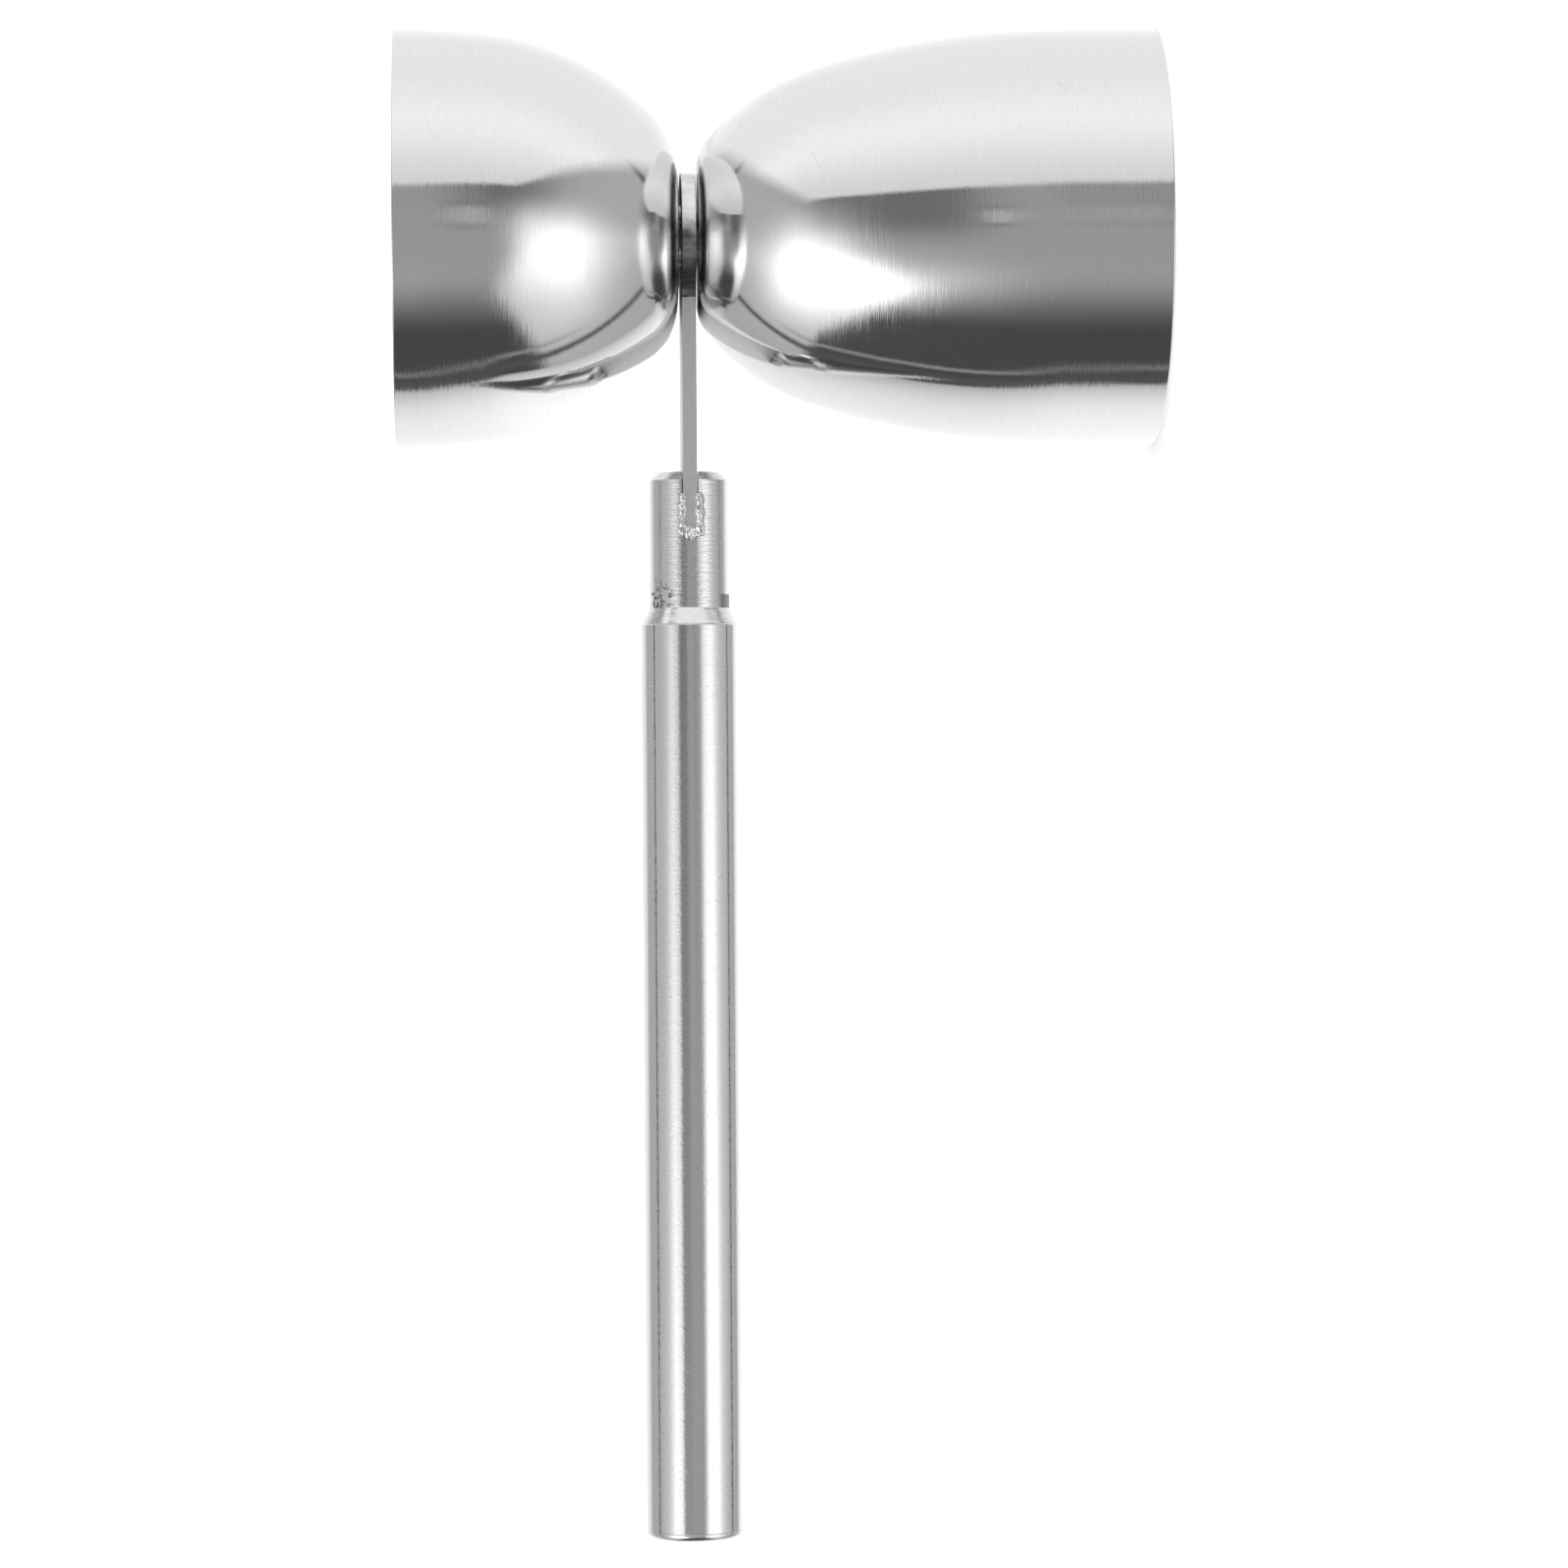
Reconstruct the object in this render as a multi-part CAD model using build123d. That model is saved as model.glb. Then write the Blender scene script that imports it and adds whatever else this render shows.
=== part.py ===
from build123d import *

import math
import os

# Double bar jigger on a stick handle, in millimetres.
#
# Z is the common axis of the two cups. The large cup stands on its rim at Z = 0, the small cup
# opens upwards above it, and the handle points along -X from a flat blade held between the cups.

# ------------------------------------------------------------------ driving sizes

CUP_WALL = 0.8
RIM_ROUNDING = 0.15

# A bell is a flat foot, three tangent arcs and a straight run to the rim. Each arc is its
# outer radius and the tilt of the wall where it ends, in degrees from the plane of the foot.
LARGE_LENGTH = 47.7
LARGE_FOOT_RADIUS = 7.1
LARGE_ARCS = [(4.6, 40.0), (24.1, 72.0), (82.5, 89.5)]

SMALL_LENGTH = 29.4
SMALL_FOOT_RADIUS = 6.65
SMALL_ARCS = [(8.95, 45.8), (29.1, 84.0), (85.5, 88.9)]

BLADE_THICKNESS = 1.5
BLADE_DISC_RADIUS = 6.7
BLADE_EDGE_ROUNDING = 0.12
TONGUE_WIDTH = 8.0
TONGUE_ROOT_FILLET = 2.5

# Gaps between the blade and the feet of the cups, bridged by the weld nuggets.
LARGE_GAP = 0.2
SMALL_GAP = 0.3
NUGGET_RADIUS = 0.9
NUGGET_PITCH_RADIUS = 3.1
NUGGET_COUNT = 4

# Lengths on the handle run outwards from the axis of the cups.
SPIGOT_START = 24.5
SPIGOT_LENGTH = 14.1
SPIGOT_RADIUS = 4.15
SPIGOT_CHAMFER = 0.85
SLOT_WIDTH = 1.7
SLOT_DEPTH = 7.2
CONE_LENGTH = 1.7
CONE_END_RADIUS = 4.95
SHANK_LENGTH = 4.0
SHANK_CLEARANCE = 0.02

TUBE_LENGTH = 94.3
TUBE_RADIUS = 5.1
TUBE_WALL = 0.5
TUBE_EDGE_CHAMFER = 0.15

CAP_HEAD_LENGTH = 0.8
CAP_HEAD_ROUNDING = 0.7
CAP_SHANK_LENGTH = 2.0

# Each weld bead beside the blade: its side of the blade along Z, the distance of its axis from
# the blade's middle plane, and its radius.
BEADS = [(-1, 0.95, 0.55), (1, 0.85, 0.38)]
BEAD_LEAD_IN = 2.6
BEAD_PROUD = 0.15
PUDDLE_RADIUS = 0.9

# ------------------------------------------------------------------ sizes that follow

BLADE_BOTTOM = LARGE_LENGTH + LARGE_GAP
BLADE_MIDDLE = BLADE_BOTTOM + BLADE_THICKNESS / 2
BLADE_TOP = BLADE_BOTTOM + BLADE_THICKNESS
SMALL_FOOT = BLADE_TOP + SMALL_GAP
SMALL_RIM = SMALL_FOOT + SMALL_LENGTH

SLOT_END = SPIGOT_START + SLOT_DEPTH
TONGUE_END = SLOT_END - SLOT_WIDTH / 2
TUBE_START = SPIGOT_START + SPIGOT_LENGTH + CONE_LENGTH
TUBE_END = TUBE_START + TUBE_LENGTH
BORE_RADIUS = TUBE_RADIUS - TUBE_WALL
SHANK_RADIUS = BORE_RADIUS - SHANK_CLEARANCE

# Local Z of this plane runs out along the handle, with its origin on the axis of the cups.
HANDLE = Plane(origin=(0, 0, BLADE_MIDDLE), x_dir=(0, 1, 0), z_dir=(-1, 0, 0))


def turned(outline):
    """Solid of revolution about Z from an outline of (radius, height) points."""
    face = make_face(Polyline(*outline, close=True))
    return revolve(Plane.XZ * face, Axis.Z)


# ------------------------------------------------------------------ cups


def bell_side(foot_radius, arcs, length, inset):
    """Curves of a bell's side, foot to rim, in (radius, distance from the foot) coordinates.

    The inset moves the side inwards, towards the arcs' centres.
    """
    curves = []
    tilt = 0.0
    centre_r = foot_radius
    centre_d = arcs[0][0]
    for index, (radius, end_tilt) in enumerate(arcs):
        end = math.radians(end_tilt)
        reach = radius - inset
        points = [
            (centre_r + reach * math.sin(angle), centre_d - reach * math.cos(angle))
            for angle in (tilt, (tilt + end) / 2, end)
        ]
        curves.append(ThreePointArc(*points))
        if index + 1 < len(arcs):
            step = arcs[index + 1][0] - radius
            centre_r -= step * math.sin(end)
            centre_d += step * math.cos(end)
        tilt = end
    last_r, last_d = points[-1]
    run = length - last_d
    curves.append(Line(points[-1], (last_r + run / math.tan(tilt), length)))
    return curves


def bell(foot_radius, arcs, length):
    """A spun bell cup with its foot on Z = 0 and its mouth up."""
    outer = bell_side(foot_radius, arcs, length, 0)
    inner = bell_side(foot_radius, arcs, length, CUP_WALL)
    section = Curve() + [
        Line((0, CUP_WALL), (0, 0)),
        Line((0, 0), outer[0] @ 0),
        *outer,
        Line(outer[-1] @ 1, inner[-1] @ 1),
        *inner,
        Line(inner[0] @ 0, (0, CUP_WALL)),
    ]
    cup = revolve(Plane.XZ * make_face(section), Axis.Z)
    rim_edges = cup.edges().filter_by(GeomType.CIRCLE).group_by(Axis.Z)[-1]
    return fillet(rim_edges, RIM_ROUNDING)


def large_cup():
    cup = bell(LARGE_FOOT_RADIUS, LARGE_ARCS, LARGE_LENGTH)
    return Pos(0, 0, LARGE_LENGTH) * Rot(180, 0, 0) * cup


def small_cup():
    return Pos(0, 0, SMALL_FOOT) * bell(SMALL_FOOT_RADIUS, SMALL_ARCS, SMALL_LENGTH)


def cup_weld(base, gap):
    """A ring of weld nuggets that fill the gap above Z = base."""
    nugget = Cylinder(NUGGET_RADIUS, gap, align=(Align.CENTER, Align.CENTER, Align.MIN))
    ring = PolarLocations(NUGGET_PITCH_RADIUS, NUGGET_COUNT, start_angle=45)
    return Compound(children=[Pos(0, 0, base) * place * nugget for place in ring])


# ------------------------------------------------------------------ blade


def handle_blade():
    """The flat plate: a disc between the cups and a tongue into the handle's slot."""
    disc = Circle(BLADE_DISC_RADIUS)
    tongue = Pos(-TONGUE_END / 2, 0) * Rectangle(TONGUE_END, TONGUE_WIDTH)
    outline = disc + tongue
    root_x = -math.sqrt(BLADE_DISC_RADIUS**2 - (TONGUE_WIDTH / 2) ** 2)
    roots = [v for v in outline.vertices() if abs(v.X - root_x) < 0.01]
    outline = fillet(roots, TONGUE_ROOT_FILLET)
    plate = extrude(outline, BLADE_THICKNESS)
    faces = plate.faces().filter_by(Axis.Z)
    plate = fillet(faces.edges(), BLADE_EDGE_ROUNDING)
    return Pos(0, 0, BLADE_BOTTOM) * plate


# ------------------------------------------------------------------ handle


def neck_plug():
    """Turned spigot and cone with a shank inside the tube, slotted across for the blade."""
    cone_start = SPIGOT_START + SPIGOT_LENGTH
    turned_plug = turned([
        (0, SPIGOT_START),
        (SPIGOT_RADIUS - SPIGOT_CHAMFER, SPIGOT_START),
        (SPIGOT_RADIUS, SPIGOT_START + SPIGOT_CHAMFER),
        (SPIGOT_RADIUS, cone_start),
        (CONE_END_RADIUS, TUBE_START),
        (SHANK_RADIUS, TUBE_START),
        (SHANK_RADIUS, TUBE_START + SHANK_LENGTH),
        (0, TUBE_START + SHANK_LENGTH),
    ])
    slot_length = TONGUE_END - SPIGOT_START + SLOT_WIDTH
    across = 2 * CONE_END_RADIUS
    slot = Pos(0, 0, TONGUE_END - slot_length / 2) * Box(across, SLOT_WIDTH, slot_length)
    slot_floor = Pos(0, 0, TONGUE_END) * Rot(0, 90, 0) * Cylinder(SLOT_WIDTH / 2, across)
    return HANDLE.location * (turned_plug - slot - slot_floor)


def handle_tube():
    edge = TUBE_RADIUS - TUBE_EDGE_CHAMFER
    tube = turned([
        (BORE_RADIUS, TUBE_START),
        (edge, TUBE_START),
        (TUBE_RADIUS, TUBE_START + TUBE_EDGE_CHAMFER),
        (TUBE_RADIUS, TUBE_END - TUBE_EDGE_CHAMFER / 2),
        (TUBE_RADIUS - TUBE_EDGE_CHAMFER / 2, TUBE_END),
        (BORE_RADIUS, TUBE_END),
    ])
    return HANDLE.location * tube


def end_cap():
    """A plug whose rounded head closes the outer end of the tube."""
    seam = TUBE_EDGE_CHAMFER / 2
    cap_end = TUBE_END + CAP_HEAD_LENGTH
    cap = turned([
        (0, TUBE_END - CAP_SHANK_LENGTH),
        (SHANK_RADIUS, TUBE_END - CAP_SHANK_LENGTH),
        (SHANK_RADIUS, TUBE_END),
        (TUBE_RADIUS - seam, TUBE_END),
        (TUBE_RADIUS, TUBE_END + seam),
        (TUBE_RADIUS, cap_end),
        (0, cap_end),
    ])
    rim = cap.edges().filter_by(GeomType.CIRCLE).group_by(Axis.Z)[-1]
    return HANDLE.location * fillet(rim, CAP_HEAD_ROUNDING)


def slot_weld(plug, blade):
    """The fused beads beside the blade, on the front and back of the spigot."""
    start = SPIGOT_START + BEAD_LEAD_IN
    runs = []
    for front in (-1, 1):
        depth = SPIGOT_RADIUS + BEAD_PROUD - PUDDLE_RADIUS
        run = Pos(-TONGUE_END, front * depth, BLADE_MIDDLE) * Sphere(PUDDLE_RADIUS)
        for side, offset, radius in BEADS:
            depth = math.sqrt((SPIGOT_RADIUS + BEAD_PROUD - radius) ** 2 - offset**2)
            length = TONGUE_END - start
            rod = Rot(0, 90, 0) * Cylinder(radius, length)
            middle = (-(start + TONGUE_END) / 2, front * depth, BLADE_MIDDLE + side * offset)
            run += Pos(*middle) * rod
            for end in (start, TONGUE_END):
                run += Pos(-end, middle[1], middle[2]) * Sphere(radius)
        runs.append(run - plug - blade)
    return Compound(children=[solid for run in runs for solid in run.solids()])


def main():
    plug = neck_plug()
    blade = handle_blade()
    parts = {
        "large_cup": large_cup(),
        "small_cup": small_cup(),
        "handle_blade": blade,
        "neck_plug": plug,
        "handle_tube": handle_tube(),
        "end_cap": end_cap(),
        "large_cup_weld": cup_weld(LARGE_LENGTH, LARGE_GAP),
        "small_cup_weld": cup_weld(BLADE_TOP, SMALL_GAP),
        "slot_weld": slot_weld(plug, blade),
    }
    os.makedirs("parts", exist_ok=True)
    for name, part in parts.items():
        export_step(part, f"parts/{name}.step")


main()
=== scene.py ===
import math

import bmesh
import bpy
from mathutils import Matrix, Vector


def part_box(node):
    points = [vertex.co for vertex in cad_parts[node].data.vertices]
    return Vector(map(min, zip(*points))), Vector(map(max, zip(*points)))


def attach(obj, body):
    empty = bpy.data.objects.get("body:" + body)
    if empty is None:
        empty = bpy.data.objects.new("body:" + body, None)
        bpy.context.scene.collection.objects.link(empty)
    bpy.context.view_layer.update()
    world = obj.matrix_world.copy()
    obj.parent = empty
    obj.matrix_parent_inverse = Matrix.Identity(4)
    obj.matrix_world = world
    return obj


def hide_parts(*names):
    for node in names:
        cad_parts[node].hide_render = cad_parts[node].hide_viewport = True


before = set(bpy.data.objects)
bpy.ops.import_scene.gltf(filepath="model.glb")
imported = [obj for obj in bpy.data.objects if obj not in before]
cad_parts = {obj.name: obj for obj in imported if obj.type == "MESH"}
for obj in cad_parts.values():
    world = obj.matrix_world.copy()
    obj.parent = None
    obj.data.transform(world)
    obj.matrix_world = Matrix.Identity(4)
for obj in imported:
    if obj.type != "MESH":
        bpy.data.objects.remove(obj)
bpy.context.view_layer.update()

# Metres, in the frame of the part: Z is the axis of the cups, the large cup stands on its rim at
# Z = 0 and the handle points along -X. The camera sees +X as up and -Z as right.
MM = 0.001

# ------------------------------------------------------------------ sizes

CUP_WALL = 0.8 * MM
RIM_ROUNDING = 0.15 * MM
# Each bell: length, radius of its flat foot, and arcs of (outer radius, tilt where it ends).
LARGE_BELL = (47.7 * MM, 7.1 * MM, [(4.6 * MM, 40.0), (24.1 * MM, 72.0), (82.5 * MM, 89.5)])
SMALL_BELL = (29.4 * MM, 6.65 * MM, [(8.95 * MM, 45.8), (29.1 * MM, 84.0), (85.5 * MM, 88.9)])

BLADE_LOW, BLADE_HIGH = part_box("handle_blade")
BLADE_MIDDLE = (BLADE_LOW.z + BLADE_HIGH.z) / 2
DISC_RADIUS = BLADE_HIGH.x
TONGUE_WIDTH = 8.0 * MM
TONGUE_ROOT_FILLET = 2.5 * MM
BLADE_EDGE = 0.06 * MM

PLUG_LOW, PLUG_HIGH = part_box("neck_plug")
SPIGOT_START = -PLUG_HIGH.x
SPIGOT_RADIUS = 4.15 * MM
SPIGOT_CHAMFER = 0.85 * MM
SPIGOT_END = SPIGOT_START + 14.1 * MM
CONE_RADIUS = PLUG_HIGH.y
SHANK_RADIUS = 4.58 * MM
SLOT_WIDTH = 1.7 * MM
SLOT_DEPTH = 7.2 * MM

TUBE_LOW, TUBE_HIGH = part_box("handle_tube")
TUBE_START = -TUBE_HIGH.x
TUBE_END = -TUBE_LOW.x
TUBE_RADIUS = TUBE_HIGH.y
TUBE_WALL = 0.5 * MM
TUBE_EDGE = 0.15 * MM

CAP_LOW, CAP_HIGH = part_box("end_cap")
CAP_END = -CAP_LOW.x
CAP_ROUNDING = 0.7 * MM

AROUND = 360
HANDLE_AXIS = Vector((0, 0, BLADE_MIDDLE))

# ------------------------------------------------------------------ node trees


class Graph:
    """Builds a node tree from short expressions. An input is a number, a tuple or a socket."""

    def __init__(self, tree):
        self.tree = tree
        tree.nodes.clear()

    def node(self, kind, inputs=None, **settings):
        node = self.tree.nodes.new(kind)
        for name, value in settings.items():
            setattr(node, name, value)
        for name, value in (inputs or {}).items():
            self.feed(node.inputs[name], value)
        return node

    def feed(self, socket, value):
        if isinstance(value, bpy.types.NodeSocket):
            self.tree.links.new(value, socket)
        else:
            socket.default_value = value

    def math(self, operation, *values):
        node = self.node("ShaderNodeMath", operation=operation)
        for socket, value in zip(node.inputs, values):
            self.feed(socket, value)
        return node.outputs[0]

    def add(self, *values):
        total = values[0]
        for value in values[1:]:
            total = self.math("ADD", total, value)
        return total

    def mul(self, *values):
        total = values[0]
        for value in values[1:]:
            total = self.math("MULTIPLY", total, value)
        return total

    def sub(self, a, b):
        return self.math("SUBTRACT", a, b)

    def low(self, a, b):
        return self.math("MINIMUM", a, b)

    def high(self, a, b):
        return self.math("MAXIMUM", a, b)

    def size(self, a):
        return self.math("ABSOLUTE", a)

    def step(self, value, start, end, low=0.0, high=1.0, curve="SMOOTHSTEP"):
        node = self.node("ShaderNodeMapRange", interpolation_type=curve)
        names = ("Value", "From Min", "From Max", "To Min", "To Max")
        for name, item in zip(names, (value, start, end, low, high)):
            self.feed(node.inputs[name], item)
        return node.outputs["Result"]

    def band(self, value, centre, width):
        """1 at the centre, falling smoothly to 0 at the width to either side."""
        return self.step(self.size(self.sub(value, centre)), 0.0, width, 1.0, 0.0)

    def blend(self, share, a, b):
        """a where share is 0, b where it is 1."""
        return self.add(self.mul(self.sub(b, a), share), a)

    def vector(self, x, y, z):
        node = self.node("ShaderNodeCombineXYZ", {"X": x, "Y": y, "Z": z})
        return node.outputs[0]

    def split(self, vector):
        node = self.node("ShaderNodeSeparateXYZ", {"Vector": vector})
        return node.outputs[0], node.outputs[1], node.outputs[2]

    def noise(self, vector, scale=1.0, detail=2.0, roughness=0.5, **settings):
        node = self.node("ShaderNodeTexNoise", {"Vector": vector, "Scale": scale}, **settings)
        node.inputs["Detail"].default_value = detail
        node.inputs["Roughness"].default_value = roughness
        return node.outputs[0]

    def grey(self, value):
        node = self.node("ShaderNodeCombineColor", {"Red": value, "Green": value, "Blue": value})
        return node.outputs[0]


# ------------------------------------------------------------------ materials


def steel(name):
    """A metal material with its node tree and its shader, before any detail."""
    material = bpy.data.materials.new(name)
    material.use_nodes = True
    graph = Graph(material.node_tree)
    shader = graph.node("ShaderNodeBsdfPrincipled")
    shader.inputs["Metallic"].default_value = 1.0
    output = graph.node("ShaderNodeOutputMaterial")
    graph.tree.links.new(shader.outputs[0], output.inputs[0])
    return material, graph, shader


def position(graph):
    return graph.node("ShaderNodeTexCoord").outputs["Object"]


def round_z(graph):
    """Cosine and sine of the angle around the axis of the cups, and the height along it."""
    x, y, z = graph.split(position(graph))
    radius = graph.math("SQRT", graph.add(graph.mul(x, x), graph.mul(y, y), 1e-9))
    return graph.math("DIVIDE", x, radius), graph.math("DIVIDE", y, radius), z


def round_x(graph):
    """Cosine and sine of the angle around the handle's axis, and X along it."""
    x, y, z = graph.split(position(graph))
    z = graph.sub(z, BLADE_MIDDLE)
    radius = graph.math("SQRT", graph.add(graph.mul(y, y), graph.mul(z, z), 1e-9))
    return graph.math("DIVIDE", y, radius), graph.math("DIVIDE", z, radius), x


def ring_lines(graph, around, length, pitch, detail=2.0):
    """Noise drawn out into lines around an axis: length in radians, pitch in metres."""
    cosine, sine, height = around
    stretch = 1.0 / length
    vector = graph.vector(
        graph.mul(cosine, stretch), graph.mul(sine, stretch), graph.mul(height, 1.0 / pitch)
    )
    return graph.noise(vector, detail=detail)


def centred(graph, noise, share):
    """Noise about zero, scaled."""
    return graph.mul(graph.sub(noise, 0.5), share)


def scratches(graph, around, slant, scale, keep):
    """Thin curved scratches: level lines of a stretched noise, kept only in a few places."""
    cosine, sine, height = around
    vector = graph.vector(
        graph.add(graph.mul(cosine, 3.0), graph.mul(height, slant)),
        graph.mul(sine, 3.0),
        graph.mul(height, scale),
    )
    lines = graph.band(graph.noise(vector, detail=1.0), 0.5, 0.012)
    places = graph.noise(vector, scale=2.3, detail=1.0)
    return graph.mul(lines, graph.step(places, keep, keep + 0.06))


def bump(graph, height, distance, normal=None):
    """A bump of the given depth, on top of another normal if there is one."""
    inputs = {"Height": height, "Distance": distance}
    if normal is not None:
        inputs["Normal"] = normal
    return graph.node("ShaderNodeBump", inputs).outputs[0]


def brushed(shader, graph, axis, anisotropic):
    """Fine polishing lines around an axis blur what the steel mirrors along that axis."""
    shader.inputs["Anisotropic"].default_value = anisotropic
    shader.inputs["Anisotropic Rotation"].default_value = 0.25
    around = graph.node("ShaderNodeTangent", direction_type="RADIAL", axis=axis)
    graph.feed(shader.inputs["Tangent"], around.outputs[0])


def cup_steel():
    material, graph, shader = steel("cup_steel")
    brushed(shader, graph, "Z", 0.95)
    around = round_z(graph)
    fine = ring_lines(graph, around, 0.10, 0.11 * MM, detail=3.0)
    coarse = ring_lines(graph, around, 0.45, 0.45 * MM, detail=3.0)
    patches = graph.noise(position(graph), scale=110.0, detail=3.0)
    marks = graph.add(
        scratches(graph, around, 120.0, 260.0, 0.66),
        scratches(graph, around, -300.0, 90.0, 0.66),
    )

    # the necks are polished brighter than the open ends
    from_blade = graph.size(graph.sub(around[2], BLADE_MIDDLE))
    worked = graph.step(from_blade, 6 * MM, 22 * MM, 0.30, 1.0)
    worked = graph.mul(worked, graph.step(patches, 0.35, 0.62, 0.45, 1.0))
    # the heat of the welds has dulled the necks. The flat feet are darkened partly by weld tarnish
    # and partly by painted shade, for the narrow dark gap against the plate
    dulled = graph.step(from_blade, 4.2 * MM, 1.6 * MM)
    tarnish = graph.step(from_blade, 1.30 * MM, 1.12 * MM, 0.0, 0.75)

    shade = graph.add(0.80, centred(graph, fine, 0.11), graph.mul(marks, -0.06))
    # painted shade: the flat feet beside the plate are darkened, partly as weld tarnish and partly
    # as the shade of the gap between cup and plate
    shade = graph.mul(shade, graph.sub(1.0, tarnish))
    graph.feed(shader.inputs["Base Color"], graph.grey(shade))
    rough = graph.add(
        0.05,
        graph.mul(dulled, 0.06),
        graph.mul(worked, 0.035),
        centred(graph, coarse, 0.04),
        graph.mul(marks, 0.05),
    )
    graph.feed(shader.inputs["Roughness"], rough)
    lines = graph.add(graph.mul(fine, 0.9), graph.mul(coarse, 0.9), graph.mul(marks, -0.2))
    grain = graph.noise(position(graph), scale=1900.0, detail=3.0, roughness=0.6)
    lines = graph.add(graph.mul(lines, worked), graph.mul(grain, dulled, 1.3))
    normal = bump(graph, lines, 0.008 * MM)
    waves = graph.noise(position(graph), scale=60.0, detail=1.0)
    graph.feed(shader.inputs["Normal"], bump(graph, waves, 0.03 * MM, normal))
    return material


def handle_steel():
    material, graph, shader = steel("handle_steel")
    brushed(shader, graph, "X", 0.8)
    around = round_x(graph)
    fine = ring_lines(graph, around, 0.09, 0.13 * MM, detail=3.0)
    coarse = ring_lines(graph, around, 0.9, 1.2 * MM, detail=3.0)
    grain = graph.noise(position(graph), scale=2600.0, detail=2.0)
    patches = graph.noise(position(graph), scale=160.0, detail=3.0)
    marks = scratches(graph, around, 900.0, 260.0, 0.62)
    shade = graph.add(0.81, centred(graph, fine, 0.10), graph.mul(marks, -0.25))
    graph.feed(shader.inputs["Base Color"], graph.grey(shade))
    rough = graph.add(0.035, graph.mul(patches, 0.05), graph.mul(marks, 0.15))
    graph.feed(shader.inputs["Roughness"], rough)
    lines = graph.add(graph.mul(fine, 0.9), graph.mul(coarse, 0.8), graph.mul(marks, -0.6))
    lines = graph.add(lines, graph.mul(grain, 0.8))
    graph.feed(shader.inputs["Normal"], bump(graph, lines, 0.008 * MM))
    return material


def turned_steel():
    material, graph, shader = steel("turned_steel")
    place = position(graph)
    around = round_x(graph)
    fine = ring_lines(graph, around, 0.16, 0.13 * MM, detail=3.0)
    feed = ring_lines(graph, around, 0.8, 0.30 * MM, detail=2.0)
    sparkle = graph.noise(place, scale=4200.0, detail=3.0, roughness=0.6)
    base_marks = spigot_base_marks(graph, place, around)
    shade = graph.add(0.78, centred(graph, fine, 0.18), centred(graph, sparkle, 0.10))
    # darkens the base colour in the corner at the spigot's base: a scribble on one side and a patch
    # on the other
    shade = graph.blend(base_marks, shade, 0.10)
    graph.feed(shader.inputs["Base Color"], graph.grey(shade))
    rough = graph.add(0.15, centred(graph, sparkle, 0.20), graph.mul(base_marks, 0.35))
    graph.feed(shader.inputs["Roughness"], rough)
    lines = graph.add(
        graph.mul(fine, 0.7), graph.mul(feed, 1.0), graph.mul(sparkle, 0.8), graph.mul(base_marks, 0.3)
    )
    graph.feed(shader.inputs["Normal"], bump(graph, lines, 0.020 * MM))
    return material


def spigot_base_marks(graph, place, around):
    """Darker, rougher marks in the corner where the spigot meets its cone: a scribble and a patch.
    """
    cosine, sine, along = around
    lines = graph.band(graph.noise(place, scale=750.0, detail=2.0, roughness=0.6), 0.5, 0.075)
    height = graph.sub(along, -SPIGOT_END)
    on_spigot = graph.step(height, -0.1 * MM, 0.05 * MM)
    low = graph.mul(graph.step(height, 3.6 * MM, 1.2 * MM), on_spigot)
    left = graph.mul(graph.step(sine, 0.35, 0.55), graph.step(cosine, 0.1, -0.1))
    patch = graph.mul(graph.step(height, 1.5 * MM, 1.3 * MM), graph.step(sine, -0.73, -0.79))
    patch = graph.mul(patch, on_spigot)
    return graph.high(graph.mul(lines, low, left), graph.mul(patch, 0.70))


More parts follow.
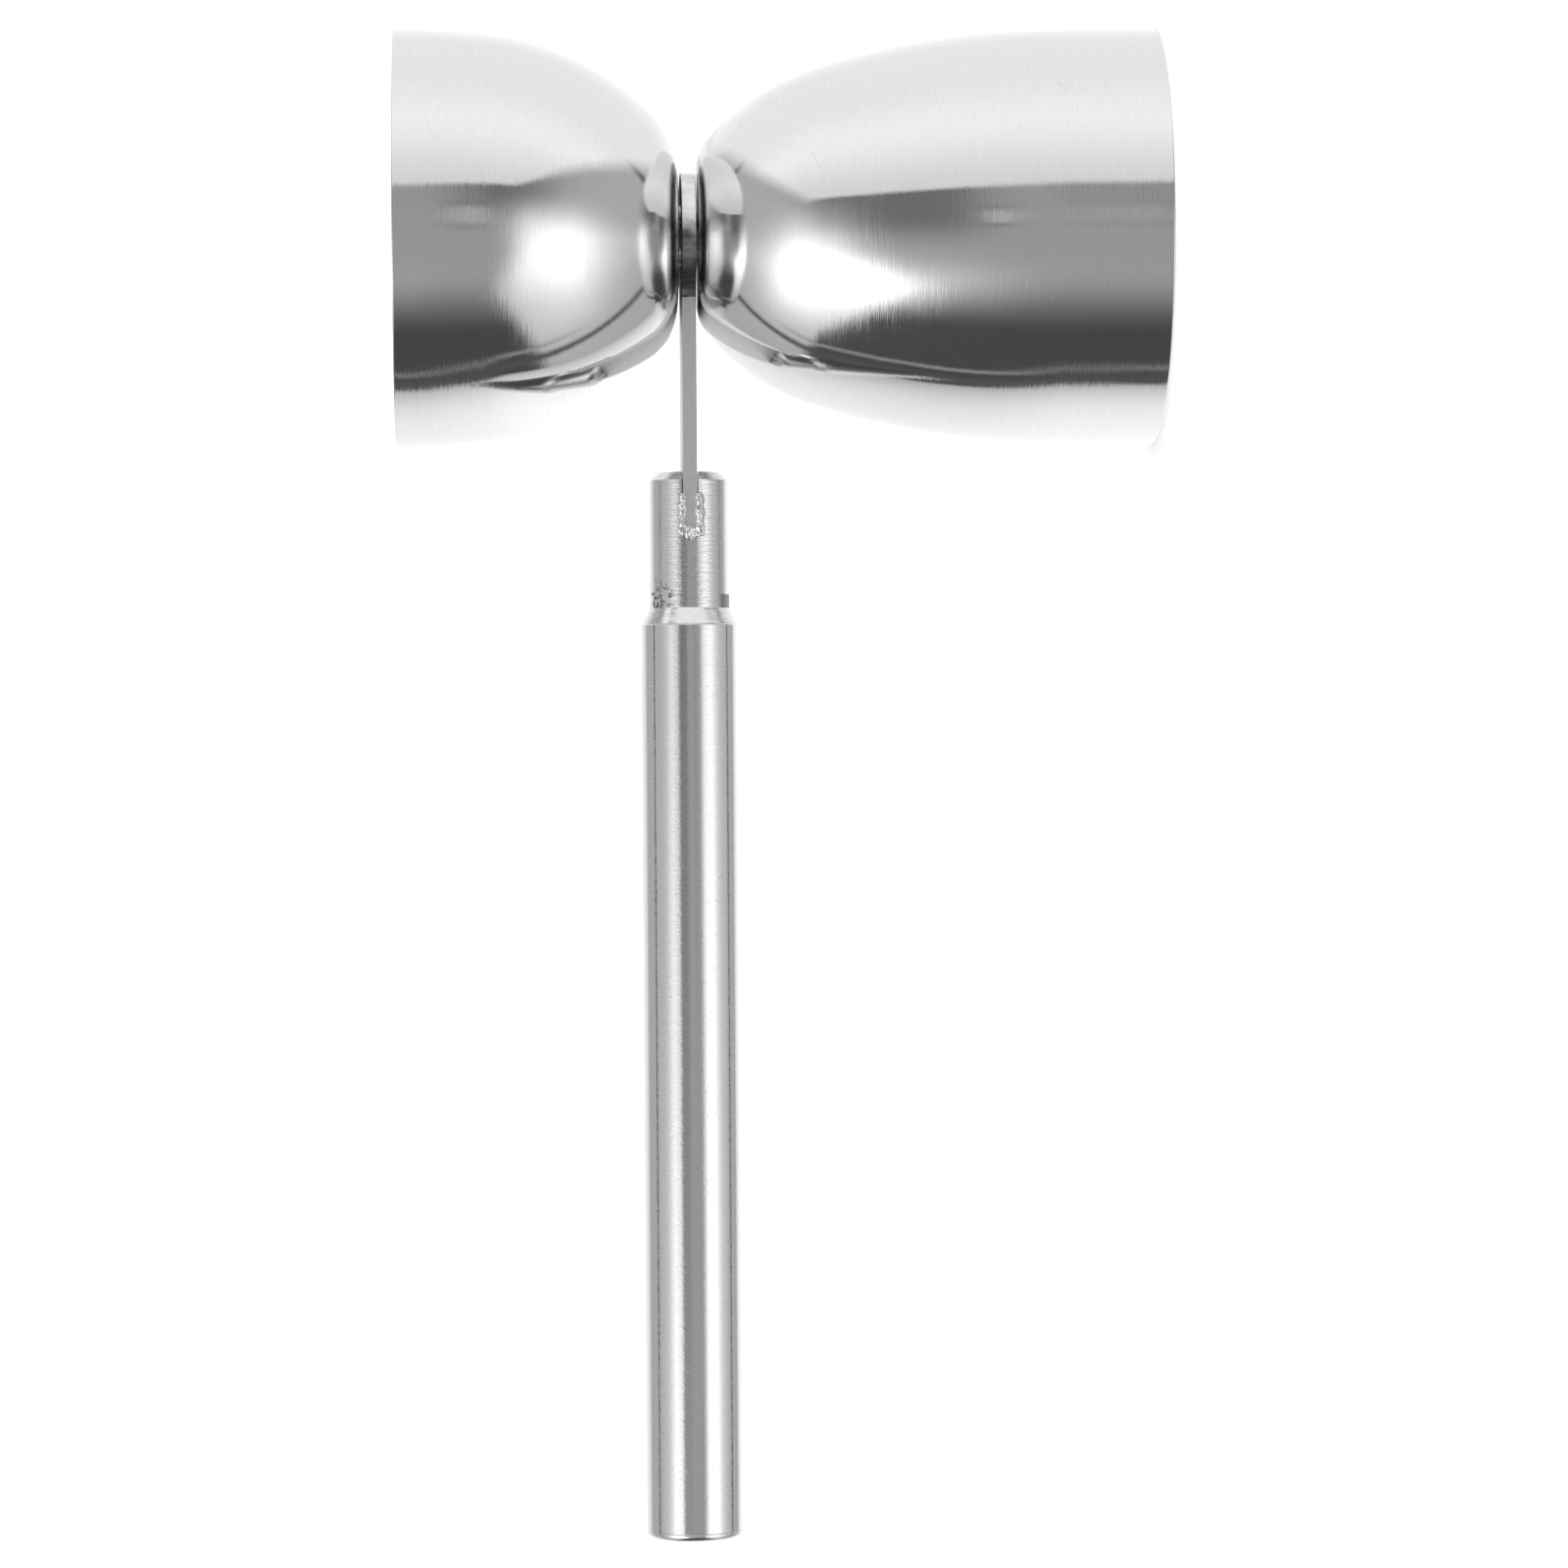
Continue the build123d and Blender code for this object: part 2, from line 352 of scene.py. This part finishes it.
def blade_steel():
    material, graph, shader = steel("blade_steel")
    place = position(graph)
    x, y, z = graph.split(place)
    grain = graph.noise(place, scale=2200.0, detail=4.0, roughness=0.7)
    torn = graph.noise(graph.vector(x, y, graph.mul(z, 0.45)), scale=1500.0, detail=3.0)
    patches = graph.noise(place, scale=420.0, detail=2.0)

    # the disc's edge is left as blanked; the tongue below it is smoother
    facing = graph.split(graph.node("ShaderNodeNewGeometry").outputs["Normal"])[2]
    edge = graph.mul(
        graph.step(x, -6.6 * MM, -6.4 * MM), graph.step(graph.size(facing), 0.6, 0.3)
    )
    # painted shadow: a broken dark smudge where the disc's edge meets the tongue
    painted_root_shadow = graph.mul(graph.band(x, -6.45 * MM, 0.35 * MM), graph.step(torn, 0.42, 0.55))
    shade = graph.add(0.70, centred(graph, grain, 0.12))
    uneven_x = graph.add(x, centred(graph, patches, 4 * MM))
    # painted shade: the blanked edge is painted darker over the lower half of the disc, where its
    # curve turns away from the light
    level = graph.step(uneven_x, -0.6 * MM, 0.6 * MM, 0.26, 0.72)
    torn_tone_and_painted_shade = graph.add(level, centred(graph, torn, 0.5), centred(graph, patches, 0.3))
    shade = graph.blend(edge, shade, torn_tone_and_painted_shade)
    shade = graph.mul(shade, graph.sub(1.0, graph.mul(painted_root_shadow, edge, 0.8)))
    # painted shade: the disc's flat faces, which look at the cup feet across a narrow gap, are
    # painted darker
    painted_gap_shade = graph.mul(graph.step(x, -6.9 * MM, -6.5 * MM), graph.step(graph.size(facing), 0.12, 0.4))
    shade = graph.mul(shade, graph.sub(1.0, graph.mul(painted_gap_shade, 0.4)))
    graph.feed(shader.inputs["Base Color"], graph.grey(shade))
    rough = graph.add(0.46, centred(graph, grain, 0.15))
    rough = graph.blend(edge, rough, graph.add(0.26, centred(graph, patches, 0.3)))
    graph.feed(shader.inputs["Roughness"], rough)
    lines = graph.add(graph.mul(grain, 0.35), graph.mul(torn, graph.mul(edge, 1.6)))
    graph.feed(shader.inputs["Normal"], bump(graph, lines, 0.03 * MM))
    return material


def weld_steel():
    material, graph, shader = steel("weld_steel")
    place = position(graph)
    ripples = graph.noise(place, scale=5200.0, detail=3.0, roughness=0.6)
    tarnish = graph.noise(place, scale=1600.0, detail=3.0)
    shade = graph.add(0.74, centred(graph, ripples, 0.15), centred(graph, tarnish, 0.4))
    graph.feed(shader.inputs["Base Color"], graph.grey(shade))
    graph.feed(shader.inputs["Roughness"], graph.add(0.12, graph.mul(ripples, 0.25)))
    graph.feed(shader.inputs["Normal"], bump(graph, ripples, 0.012 * MM))
    return material


MATERIALS = {
    "cup_steel": cup_steel(),
    "handle_steel": handle_steel(),
    "turned_steel": turned_steel(),
    "blade_steel": blade_steel(),
    "weld_steel": weld_steel(),
}

# ------------------------------------------------------------------ outlines and meshes

# An outline is a list of samples (radius, height, outward normal's radius, normal's height),
# in the order that keeps the outside on the left.


def left_of(direction):
    return Vector((-direction.y, direction.x))


def rounded(corners, closed=False, steps=5):
    """Samples round a polygon of (radius, height, rounding) corners."""
    points = [Vector(c[:2]) for c in corners]
    count = len(points)
    samples = []
    for i, corner in enumerate(corners):
        if not closed and i in (0, count - 1):
            other = points[1] - points[0] if i == 0 else points[-1] - points[-2]
            samples.append((*points[i], *left_of(other.normalized())))
            continue
        incoming = (points[i] - points[i - 1]).normalized()
        outgoing = (points[(i + 1) % count] - points[i]).normalized()
        turn = math.atan2(incoming.cross(outgoing), incoming.dot(outgoing))
        radius = corner[2]
        start_normal = left_of(incoming)
        start = points[i] - incoming * radius * math.tan(abs(turn) / 2)
        sign = 1 if turn < 0 else -1
        centre = start - start_normal * radius * sign
        for k in range(steps + 1):
            angle = turn * k / steps
            normal = Matrix.Rotation(angle, 2) @ start_normal
            samples.append((*(centre + normal * radius * sign), *normal))
    return samples


def bell_side(bell, inset, steps=36):
    """Samples of a bell's side from foot to rim, moved inwards by the inset."""
    length, foot_radius, arcs = bell
    samples = []
    tilt = 0.0
    centre = Vector((foot_radius, arcs[0][0]))
    for index, (radius, end_tilt) in enumerate(arcs):
        end = math.radians(end_tilt)
        for k in range(0 if index == 0 else 1, steps + 1):
            angle = tilt + (end - tilt) * k / steps
            normal = Vector((math.sin(angle), -math.cos(angle)))
            samples.append((*(centre + normal * (radius - inset)), *normal))
        if index + 1 < len(arcs):
            centre -= normal * (arcs[index + 1][0] - radius)
        tilt = end
    run = length - RIM_ROUNDING - samples[-1][1]
    samples.append((samples[-1][0] + run / math.tan(tilt), length - RIM_ROUNDING, *normal))
    return samples


def bell_outline(bell):
    """The whole wall of a bell, from the inside of its foot round the rim to the outside."""
    length = bell[0]
    inner = [(r, h, -nr, -nh) for r, h, nr, nh in bell_side(bell, CUP_WALL)]
    outer = bell_side(bell, 0.0)
    rim = rounded([
        (inner[-1][0], length - 2 * RIM_ROUNDING, 0),
        (inner[-1][0], length, RIM_ROUNDING),
        (outer[-1][0], length, RIM_ROUNDING),
        (outer[-1][0], length - 2 * RIM_ROUNDING, 0),
    ])[2:-2]
    floor = [(0.0, CUP_WALL, 0.0, 1.0)]
    foot = [(0.0, 0.0, 0.0, -1.0)]
    return floor + inner + rim + outer[::-1] + foot


def mesh_object(name, points, faces, normals, material):
    """A smooth mesh with its own normals, linked into the scene."""
    mesh = bpy.data.meshes.new(name)
    mesh.from_pydata(points, [], faces)
    mesh.polygons.foreach_set("use_smooth", [True] * len(faces))
    mesh.update()
    if normals is not None:
        mesh.normals_split_custom_set_from_vertices(normals)
    mesh.materials.append(MATERIALS[material])
    piece = bpy.data.objects.new(name, mesh)
    bpy.context.scene.collection.objects.link(piece)
    return piece


def lathe(name, samples, place, material, closed=False):
    """Turns an outline about local Z and puts it in place. The outside is on its left."""
    points = []
    normals = []
    rows = []
    turn = place.to_3x3()
    for radius, height, normal_r, normal_h in samples:
        count = 1 if radius < 1e-9 else AROUND
        rows.append((len(points), count))
        for k in range(count):
            angle = 2 * math.pi * k / AROUND
            c, s = math.cos(angle), math.sin(angle)
            points.append(place @ Vector((radius * c, radius * s, height)))
            normals.append(turn @ Vector((normal_r * c, normal_r * s, normal_h)).normalized())
    faces = []
    pairs = list(zip(rows, rows[1:]))
    if closed:
        pairs.append((rows[-1], rows[0]))
    for (a, count_a), (b, count_b) in pairs:
        for k in range(AROUND):
            n = (k + 1) % AROUND
            if count_a == 1:
                faces.append((a, b + k, b + n))
            elif count_b == 1:
                faces.append((a + k, b, a + n))
            else:
                faces.append((a + k, b + k, b + n, a + n))
    return mesh_object(name, points, faces, normals, material)


def stand_for(piece, node):
    """Puts a piece on the part's one body, in place of its CAD node."""
    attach(piece, "root")
    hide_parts(node)


# Local Z of this placing runs out along the handle, from the axis of the cups.
OUT_ALONG_HANDLE = Matrix(((0, 0, -1, 0), (1, 0, 0, 0), (0, -1, 0, BLADE_MIDDLE), (0, 0, 0, 1)))


def make_cups():
    upside_down = Matrix.Translation((0, 0, LARGE_BELL[0])) @ Matrix.Rotation(math.pi, 4, "X")
    large = lathe("large_cup_bell", bell_outline(LARGE_BELL), upside_down, "cup_steel")
    stand_for(large, "large_cup")
    small_foot = Matrix.Translation((0, 0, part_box("small_cup")[0].z))
    small = lathe("small_cup_bell", bell_outline(SMALL_BELL), small_foot, "cup_steel")
    stand_for(small, "small_cup")


def make_tube():
    bore = TUBE_RADIUS - TUBE_WALL
    inner_edge = 0.05 * MM
    outline = rounded([
        (bore, TUBE_START, inner_edge),
        (bore, TUBE_END, inner_edge),
        (TUBE_RADIUS, TUBE_END, TUBE_EDGE / 2),
        (TUBE_RADIUS, TUBE_START, TUBE_EDGE),
    ], closed=True)
    tube = lathe("handle_tube_shell", outline, OUT_ALONG_HANDLE, "handle_steel", closed=True)
    stand_for(tube, "handle_tube")


def make_cap():
    shank_end = -CAP_HIGH.x
    fine = 0.1 * MM
    cap = lathe("end_cap_plug", rounded([
        (0, CAP_END, 0),
        (TUBE_RADIUS, CAP_END, CAP_ROUNDING),
        (TUBE_RADIUS, TUBE_END, TUBE_EDGE / 2),
        (SHANK_RADIUS, TUBE_END, 0.02 * MM),
        (SHANK_RADIUS, shank_end, fine),
        (0, shank_end, 0),
    ], steps=8), OUT_ALONG_HANDLE, "handle_steel")
    stand_for(cap, "end_cap")


def make_plug():
    fine = 0.06 * MM
    shank_end = -PLUG_LOW.x
    plug = lathe("neck_plug_turned", rounded([
        (0, shank_end, 0),
        (SHANK_RADIUS, shank_end, fine),
        (SHANK_RADIUS, TUBE_START, 0.02 * MM),
        (CONE_RADIUS, TUBE_START, 0.03 * MM),
        (SPIGOT_RADIUS, SPIGOT_END, fine),
        (SPIGOT_RADIUS, SPIGOT_START + SPIGOT_CHAMFER, fine),
        (SPIGOT_RADIUS - SPIGOT_CHAMFER, SPIGOT_START, fine),
        (0, SPIGOT_START, 0),
    ]), OUT_ALONG_HANDLE, "turned_steel")
    cut_slot(plug)
    stand_for(plug, "neck_plug")


def cut_slot(plug):
    """Saws the slot for the tongue right across the spigot, with a round floor."""
    half = SLOT_WIDTH / 2
    floor_centre = SPIGOT_START + SLOT_DEPTH - half
    outline = [(SPIGOT_START - 2 * MM, -half)]
    for k in range(17):
        angle = -math.pi / 2 + math.pi * k / 16
        outline.append((floor_centre + half * math.cos(angle), half * math.sin(angle)))
    outline.append((SPIGOT_START - 2 * MM, half))
    reach = 6 * MM
    points = [Vector((-s, y, BLADE_MIDDLE + w)) for y in (-reach, reach) for s, w in outline]
    n = len(outline)
    faces = [tuple(range(n)), tuple(range(2 * n - 1, n - 1, -1))]
    faces += [(k, n + k, n + (k + 1) % n, (k + 1) % n) for k in range(n)]
    cutter = mesh_object("slot_cutter", points, faces, None, "turned_steel")
    tidy = bmesh.new()
    tidy.from_mesh(cutter.data)
    bmesh.ops.recalc_face_normals(tidy, faces=tidy.faces)
    tidy.to_mesh(cutter.data)
    tidy.free()
    cut = plug.modifiers.new("slot", "BOOLEAN")
    cut.operation = "DIFFERENCE"
    cut.solver = "EXACT"
    cut.object = cutter
    apply_modifiers(plug)
    bpy.data.objects.remove(cutter)
    plug.data.set_sharp_from_angle(angle=math.radians(25))


def apply_modifiers(piece):
    scene_graph = bpy.context.evaluated_depsgraph_get()
    result = bpy.data.meshes.new_from_object(piece.evaluated_get(scene_graph))
    piece.modifiers.clear()
    piece.data = result


def blade_outline():
    """Samples (x, y, normal x, normal y) round the keyhole outline of the blade."""
    half = TONGUE_WIDTH / 2
    fillet_y = half + TONGUE_ROOT_FILLET
    fillet_reach = DISC_RADIUS + TONGUE_ROOT_FILLET
    fillet_x = -math.sqrt(fillet_reach**2 - fillet_y**2)
    root = math.atan2(fillet_y, fillet_x)
    end_x = BLADE_LOW.x
    samples = []
    disc_steps = 160
    for k in range(disc_steps + 1):
        angle = -root + 2 * root * k / disc_steps
        normal = Vector((math.cos(angle), math.sin(angle)))
        samples.append((*(normal * DISC_RADIUS), *normal))
    fillet_steps = 16
    for k in range(1, fillet_steps + 1):
        angle = root + (math.pi / 2 - root) * k / fillet_steps
        normal = Vector((math.cos(angle), math.sin(angle)))
        place = Vector((fillet_x, fillet_y)) - normal * TONGUE_ROOT_FILLET
        samples.append((*place, *normal))
    corner = 0.3 * MM
    for k in range(7):
        angle = math.pi / 2 + math.pi / 2 * k / 6
        normal = Vector((math.cos(angle), math.sin(angle)))
        place = Vector((end_x + corner, half - corner)) + normal * corner
        samples.append((*place, *normal))
    lower = [(x, -y, nx, -ny) for x, y, nx, ny in samples[disc_steps + 1:]]
    return samples + lower[::-1]


def make_blade():
    """The plate: its outline in rows that round both edges, closed by the two flat faces."""
    outline = blade_outline()
    count = len(outline)
    steps = 5
    angles = [math.pi / 2 * (1 - k / steps) for k in range(steps + 1)]
    edge = [(math.cos(angle), math.sin(angle)) for angle in angles]
    rows = [(out, up, BLADE_HIGH.z - BLADE_EDGE * (1 - up)) for out, up in edge]
    rows += [(out, -up, BLADE_LOW.z + BLADE_EDGE * (1 - up)) for out, up in reversed(edge)]
    points = []
    normals = []
    for out, up, z in rows:
        inward = BLADE_EDGE * (1 - out)
        for x, y, nx, ny in outline:
            points.append((x - nx * inward, y - ny * inward, z))
            normals.append((nx * out, ny * out, up))
    faces = [tuple(range(count))]
    for row in range(len(rows) - 1):
        a, b = row * count, (row + 1) * count
        for k in range(count):
            n = (k + 1) % count
            faces.append((a + k, b + k, b + n, a + n))
    faces.append(tuple(range(len(points) - 1, len(points) - count - 1, -1)))
    blade = mesh_object("handle_blade_plate", points, faces, normals, "blade_steel")
    stand_for(blade, "handle_blade")


def make_welds():
    """The welds keep their CAD nodes; modifiers turn the beads in the slot lumpy."""
    for node in ("large_cup_weld", "small_cup_weld", "slot_weld"):
        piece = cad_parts[node]
        for material_slot in piece.material_slots:
            material_slot.link = "OBJECT"
            material_slot.material = MATERIALS["weld_steel"]
    lumps = bpy.data.textures.new("lumps", "CLOUDS")
    lumps.noise_scale = 0.85 * MM
    lumps.noise_depth = 1
    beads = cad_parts["slot_weld"]
    fine_mesh = beads.modifiers.new("fine_mesh", "REMESH")
    fine_mesh.mode = "VOXEL"
    fine_mesh.voxel_size = 0.045 * MM
    fine_mesh.use_smooth_shade = True
    push = beads.modifiers.new("push", "DISPLACE")
    push.texture = lumps
    push.texture_coords = "LOCAL"
    push.strength = 0.55 * MM
    push.mid_level = 0.40


# ------------------------------------------------------------------ studio

# What the steel mirrors: a light tent, worked out by direction. The three parts of a direction
# are up, toward (the camera) and right. side is the size of its right part. turn is its angle
# above the lens in degrees: 90 is overhead, 180 is behind the object. A level of 1 is white.

GAP_LEVEL = 0.068
SEAM_LEVEL = 0.09
LOWER_PANEL_LEVEL = 0.46

# place is where a lamp stands by its part to the side, and power is its level at the centre.
LEFT_LAMP = {
    "place": 0.69, "inward": 0.42, "outward": 0.17,
    "turn": -30.0, "downward": 40.0, "upward": 33.0, "power": 1.30,
}
LEFT_SPILL = {
    "place": 0.40, "inward": 0.26, "outward": 0.30,
    "turn": -36.0, "downward": 22.0, "upward": 14.0, "power": 0.60,
}
RIGHT_LAMP = {
    "place": 0.72, "inward": 0.46, "outward": 0.18,
    "turn": -12.0, "downward": 48.0, "upward": 24.0, "power": 1.10,
}
# Soft ovals with a dark rim, one for each cup, where the photographer's gear shows.
LENSES = (
    {"place": -0.10, "width": 0.038, "turn": 6.5, "height": 5.0, "rim": 1.0, "light": 0.60},
    {"place": 0.17, "width": 0.055, "turn": 8.0, "height": 6.5, "rim": 0.8, "light": 0.52},
)


def studio_light(graph):
    """Level of the studio by direction."""
    x, y, z = graph.split(graph.node("ShaderNodeTexCoord").outputs["Generated"])
    up = x
    toward = graph.mul(y, -1.0)
    right = graph.mul(z, -1.0)
    side = graph.size(right)
    turn = graph.mul(graph.math("ARCTAN2", up, toward), math.degrees(1))
    to_right = graph.step(right, -0.10, 0.30)
    gap = gap_below_lens(graph, up, side, turn)
    light = graph.blend(gap, front_cloth(graph, side, turn, to_right), GAP_LEVEL)
    lamps = side_lamps(graph, side, right, turn, to_right)
    light = graph.add(light, graph.mul(lamps, graph.sub(1.0, gap)))
    light = add_lenses(graph, light, right, turn)
    light = add_table(graph, light, toward, side, to_right)
    return add_roof(graph, light, up, toward, side, turn, to_right)


def front_cloth(graph, side, turn, to_right):
    """The front of the tent: darker just under the roof, lighter low down and to the sides."""
    cloth = graph.step(turn, -65.0, -20.0, 0.26, 0.37)
    lifted = graph.sub(turn, graph.mul(to_right, 16.0))
    under_roof = graph.mul(graph.step(lifted, -14.0, 8.0), graph.step(turn, 48.0, 22.0))
    off_middle = graph.mul(graph.step(side, 0.05, 0.25), graph.step(side, 0.90, 0.50))
    cloth = graph.mul(cloth, graph.sub(1.0, graph.mul(under_roof, off_middle, 0.55)))
    cloth = graph.blend(graph.step(side, 0.5, 0.95), cloth, 0.48)
    return graph.blend(graph.step(turn, -40.0, -70.0), cloth, LOWER_PANEL_LEVEL)


def gap_below_lens(graph, up, side, turn):
    """Share of the dark opening below the lens, which widens downwards."""
    inside = graph.sub(graph.mul(up, -0.50), side)
    return graph.mul(graph.step(inside, -0.03, 0.03), graph.step(turn, -24.0, -60.0))


def side_lamps(graph, side, right, turn, to_right):
    """Both lamps, cut off on their inner side by the cloth, and what spills past it."""
    left = graph.mul(right, -1.0)
    lamps = graph.add(glow(graph, left, turn, LEFT_LAMP), glow(graph, right, turn, RIGHT_LAMP))
    inner_edge = graph.step(turn, -45.0, -8.0, 0.26, graph.blend(to_right, 0.47, 0.41))
    softness = graph.blend(to_right, 0.08, 0.13)
    past_edge = graph.math("DIVIDE", graph.sub(side, inner_edge), softness)
    lamps = graph.mul(lamps, graph.step(past_edge, -1.0, 1.0))
    return graph.add(lamps, glow(graph, left, turn, LEFT_SPILL))


def glow(graph, place, turn, lamp):
    """A soft lamp, brightest at its centre, falling off by its own reach on four sides."""
    off = graph.sub(place, lamp["place"])
    outward = graph.mul(graph.high(off, 0.0), 1.0 / lamp["outward"])
    inward = graph.mul(graph.low(off, 0.0), 1.0 / lamp["inward"])
    lift = graph.sub(turn, lamp["turn"])
    upward = graph.mul(graph.high(lift, 0.0), 1.0 / lamp["upward"])
    downward = graph.mul(graph.low(lift, 0.0), 1.0 / lamp["downward"])
    across = graph.add(outward, inward)
    along = graph.add(upward, downward)
    square = graph.add(graph.mul(across, across), graph.mul(along, along))
    return graph.mul(graph.math("EXPONENT", graph.mul(square, -1.0)), lamp["power"])


def add_lenses(graph, light, right, turn):
    for lens in LENSES:
        across = graph.mul(graph.sub(right, lens["place"]), 1.0 / lens["width"])
        along = graph.mul(graph.sub(turn, lens["turn"]), 1.0 / lens["height"])
        reach = graph.add(graph.mul(across, across), graph.mul(along, along))
        rim = graph.mul(graph.band(reach, 1.1, 0.6), lens["rim"])
        light = graph.blend(rim, light, 0.12)
        light = graph.blend(graph.step(reach, 0.9, 0.6), light, lens["light"])
    return light


def add_table(graph, light, toward, side, to_right):
    """The white table behind the object, and the dark seam where the tent meets it."""
    square = graph.mul(side, side)
    seam = graph.add(-0.10, graph.mul(to_right, graph.sub(1.0, square), 0.20))
    off_seam = graph.sub(toward, seam)
    hem = graph.mul(graph.band(off_seam, 0.13, 0.035), graph.step(side, 0.8, 0.4))
    light = graph.blend(hem, light, 0.32)
    narrowing = graph.step(side, 0.3, 0.8, 1.0 / 0.085, 1.0 / 0.055)
    seam_line = graph.band(graph.mul(off_seam, narrowing), 0.0, 1.0)
    light = graph.blend(seam_line, light, SEAM_LEVEL)

    edge = graph.sub(graph.blend(to_right, -0.17, 0.03), graph.mul(square, 0.60))
    past_edge = graph.sub(edge, toward)
    fall = graph.math("EXPONENT", graph.mul(graph.high(past_edge, 0.0), -4.0))
    top = graph.mul(graph.sub(1.05, graph.mul(fall, 0.60)), graph.blend(to_right, 1.0, 1.2))
    return graph.blend(graph.step(past_edge, -0.01, 0.02), light, top)


def add_roof(graph, light, up, toward, side, turn, to_right):
    """The bright roof of the tent, sharp and seamed at the front, soft at both sides."""
    front = graph.sub(up, graph.mul(toward, graph.blend(to_right, 0.43, 0.50)))
    left = graph.add(graph.sub(up, graph.mul(side, 0.70)), graph.mul(toward, 0.19))
    right = graph.sub(graph.sub(up, graph.mul(side, 0.60)), graph.mul(toward, 0.20))
    inside = graph.low(front, graph.blend(to_right, left, right))
    cloth = graph.add(
        graph.step(turn, 20.0, 65.0, 0.78, 1.06),
        graph.step(turn, 65.0, 95.0, 0.0, -0.09),
        graph.step(turn, 138.0, 142.0, 0.0, 0.04),
        graph.step(turn, 142.0, 170.0, 0.0, 0.12),
    )
    seam = graph.mul(graph.band(inside, -0.012, 0.016), graph.step(side, 0.6, 0.4, 0.0, 0.3))
    light = graph.mul(light, graph.sub(1.0, seam))
    softness = graph.step(side, 0.40, 0.75, 0.005, 0.20)
    share = graph.step(graph.add(inside, graph.mul(softness, 0.4)), 0.0, softness)
    return graph.blend(share, light, cloth)


def make_world():
    """The studio for mirror rays, and a plain white dome for everything else."""
    world = bpy.data.worlds.new("studio")
    bpy.context.scene.world = world
    world.use_nodes = True
    graph = Graph(world.node_tree)
    studio = graph.node(
        "ShaderNodeBackground", {"Color": graph.grey(studio_light(graph)), "Strength": 1.0}
    )
    dome = graph.node("ShaderNodeBackground", {"Color": (1, 1, 1, 1), "Strength": 1.6})
    mirrored = graph.node("ShaderNodeLightPath").outputs["Is Glossy Ray"]
    mix = graph.node("ShaderNodeMixShader", {0: mirrored})
    graph.tree.links.new(dome.outputs[0], mix.inputs[1])
    graph.tree.links.new(studio.outputs[0], mix.inputs[2])
    output = graph.node("ShaderNodeOutputWorld")
    graph.tree.links.new(mix.outputs[0], output.inputs[0])


def make_floor():
    """A pale floor that reaches past the view. The steel mirrors the studio instead of it."""
    material = bpy.data.materials.new("pale_floor")
    material.use_nodes = True
    graph = Graph(material.node_tree)
    shader = graph.node("ShaderNodeBsdfPrincipled")
    patches = graph.noise(position(graph), scale=12.0, detail=3.0)
    graph.feed(shader.inputs["Base Color"], graph.grey(graph.add(0.9, graph.mul(patches, 0.02))))
    shader.inputs["Roughness"].default_value = 0.8
    output = graph.node("ShaderNodeOutputMaterial")
    graph.tree.links.new(shader.outputs[0], output.inputs[0])
    half = 60.0
    corners = [(-half, -half, 0), (half, -half, 0), (half, half, 0), (-half, half, 0)]
    mesh = bpy.data.meshes.new("floor")
    mesh.from_pydata(corners, [], [(0, 1, 2, 3)])
    mesh.materials.append(material)
    floor = bpy.data.objects.new("floor", mesh)
    bpy.context.scene.collection.objects.link(floor)
    floor.visible_glossy = False


def make_camera():
    """A long lens in front of the object, rolled so that the handle hangs down the picture."""
    data = bpy.data.cameras.new("camera")
    data.sensor_width = 36.0
    data.lens = 138.3
    data.clip_end = 10.0
    camera = bpy.data.objects.new("camera", data)
    bpy.context.scene.collection.objects.link(camera)
    square_on = Matrix(((0, 0, -1), (1, 0, 0), (0, -1, 0)))
    trim = (
        Matrix.Rotation(math.radians(0.40), 3, "Z")
        @ Matrix.Rotation(math.radians(2.825), 3, "Y")
        @ Matrix.Rotation(math.radians(0.246), 3, "X")
    )
    place = Vector((-54.3, -627.5, 69.9)) * MM
    camera.matrix_world = Matrix.Translation(place) @ (trim @ square_on).transposed().to_4x4()
    bpy.context.scene.camera = camera


def main():
    bpy.context.scene.view_settings.view_transform = "Standard"
    make_camera()
    make_world()
    make_floor()
    make_cups()
    make_tube()
    make_cap()
    make_plug()
    make_blade()
    make_welds()


main()
